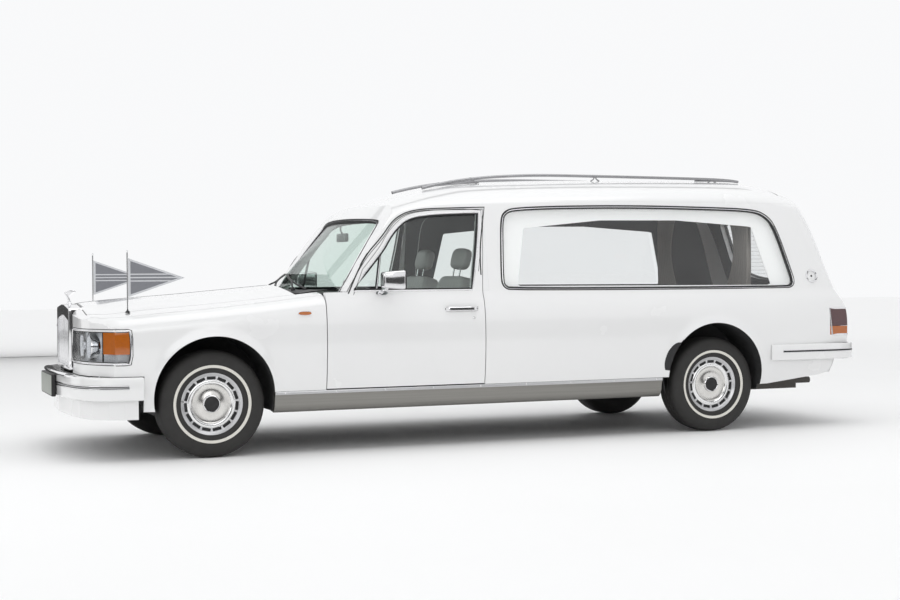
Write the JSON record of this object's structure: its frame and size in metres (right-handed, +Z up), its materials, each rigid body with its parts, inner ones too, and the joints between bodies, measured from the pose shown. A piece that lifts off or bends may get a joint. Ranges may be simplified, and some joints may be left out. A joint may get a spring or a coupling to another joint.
{
  "type": "hearse",
  "caption": "Long white two-door hearse with a glazed load space, opening doors, bonnet and tailgate, steered front wheels and a pair of bonnet flags.",
  "frame": {"origin": "on the ground under the middle of the overall length and width", "axes": "+X forward along the car, +Y to its left, +Z up"},
  "size_m": [5.85, 2.174, 1.8655],
  "materials": {
    "underbody": "satin black",
    "paint": "gloss white",
    "chrome": "polished",
    "lamp_clear": "clear lens",
    "lamp_amber": "amber lens",
    "plate_grey": "satin",
    "glass_clear": "clear",
    "glass_dark": "tinted",
    "sill_metal": "satin",
    "lamp_red": "red lens",
    "cast_metal": "as cast",
    "exhaust_steel": "dull",
    "dash_plastic": "grained",
    "seat_leather": "pleated",
    "lining": "satin trim",
    "deck_wood": "varnished",
    "curtain_cloth": "draped",
    "flag_cloth": "printed stripes",
    "tyre_rubber": "black with a white wall",
    "wheel_chrome": "polished"
  },
  "bodies": {
    "body": {"floor_pan": "underbody", "wing_left": "paint", "wing_right": "paint", "front_panel": "underbody", "radiator": "chrome", "mascot": "chrome", "headlamps": "lamp_clear", "indicators": "lamp_amber", "front_bumper": "paint", "front_valance": "paint", "front_plate": "plate_grey", "scuttle": "paint", "windscreen": "glass_clear", "roof_panel": "paint", "body_side_left": "paint", "body_side_right": "paint", "side_windows": "glass_dark", "sills": "sill_metal", "tail_lamps": "lamp_red", "rear_bumper": "paint", "rear_panel": "paint", "gate_hinges": "chrome", "roof_rails": "chrome", "wheel_houses": "underbody", "engine_block": "cast_metal", "front_subframe": "underbody", "rear_axle": "underbody", "exhaust": "exhaust_steel", "dashboard": "dash_plastic", "seats": "seat_leather", "partition": "lining", "coffin_deck": "deck_wood", "curtains": "curtain_cloth", "steering_wheel": "dash_plastic", "flag_poles": "chrome", "flags": "flag_cloth"},
    "bonnet": {"bonnet": "paint"},
    "tailgate": {"tailgate": "paint", "tailgate_glass": "glass_dark", "rear_plate": "plate_grey"},
    "door_left": {"door_left": "paint", "door_glass_left": "glass_clear", "door_fittings_left": "chrome"},
    "door_right": {"door_right": "paint", "door_glass_right": "glass_clear", "door_fittings_right": "chrome"},
    "knuckle_left": {"knuckle_left": "underbody"},
    "knuckle_right": {"knuckle_right": "underbody"},
    "wheel_front_left": {"tyre_front_left": "tyre_rubber", "wheel_front_left": "wheel_chrome"},
    "wheel_front_right": {"tyre_front_right": "tyre_rubber", "wheel_front_right": "wheel_chrome"},
    "wheel_rear_left": {"tyre_rear_left": "tyre_rubber", "wheel_rear_left": "wheel_chrome"},
    "wheel_rear_right": {"tyre_rear_right": "tyre_rubber", "wheel_rear_right": "wheel_chrome"}
  },
  "joints": [
    {"name": "steer_left", "type": "hinge", "parent": "body", "child": "knuckle_left", "pos_m": [2.025, 0.6995, 0.338], "axis": [0, 0, 1], "range_deg": [-32, 32]},
    {"name": "steer_right", "type": "hinge", "parent": "body", "child": "knuckle_right", "pos_m": [2.025, -0.6995, 0.338], "axis": [0, 0, 1], "range_deg": [-32, 32]},
    {"name": "wheel_front_left_spin", "type": "hinge", "parent": "knuckle_left", "child": "wheel_front_left", "pos_m": [2.025, 0.7745, 0.338], "axis": [0, 1, 0], "continuous": true},
    {"name": "wheel_front_right_spin", "type": "hinge", "parent": "knuckle_right", "child": "wheel_front_right", "pos_m": [2.025, -0.7745, 0.338], "axis": [0, 1, 0], "continuous": true},
    {"name": "wheel_rear_left_spin", "type": "hinge", "parent": "body", "child": "wheel_rear_left", "pos_m": [-1.6, 0.7745, 0.338], "axis": [0, 1, 0], "continuous": true},
    {"name": "wheel_rear_right_spin", "type": "hinge", "parent": "body", "child": "wheel_rear_right", "pos_m": [-1.6, -0.7745, 0.338], "axis": [0, 1, 0], "continuous": true},
    {"name": "door_left_hinge", "type": "hinge", "parent": "body", "child": "door_left", "pos_m": [1.263, 0.935, 0.7], "axis": [0, 0, -1], "range_deg": [0, 65]},
    {"name": "door_right_hinge", "type": "hinge", "parent": "body", "child": "door_right", "pos_m": [1.263, -0.935, 0.7], "axis": [0, 0, 1], "range_deg": [0, 65]},
    {"name": "bonnet_hinge", "type": "hinge", "parent": "body", "child": "bonnet", "pos_m": [1.46, 0, 1.024], "axis": [0, -1, 0], "range_deg": [0, 50]},
    {"name": "tailgate_hinge", "type": "hinge", "parent": "body", "child": "tailgate", "pos_m": [-2.335, 0, 1.782], "axis": [0, 1, 0], "range_deg": [0, 80]}
  ],
  "couplings": [
    {"joint": "steer_right", "follows": "steer_left", "ratio": 1}
  ]
}
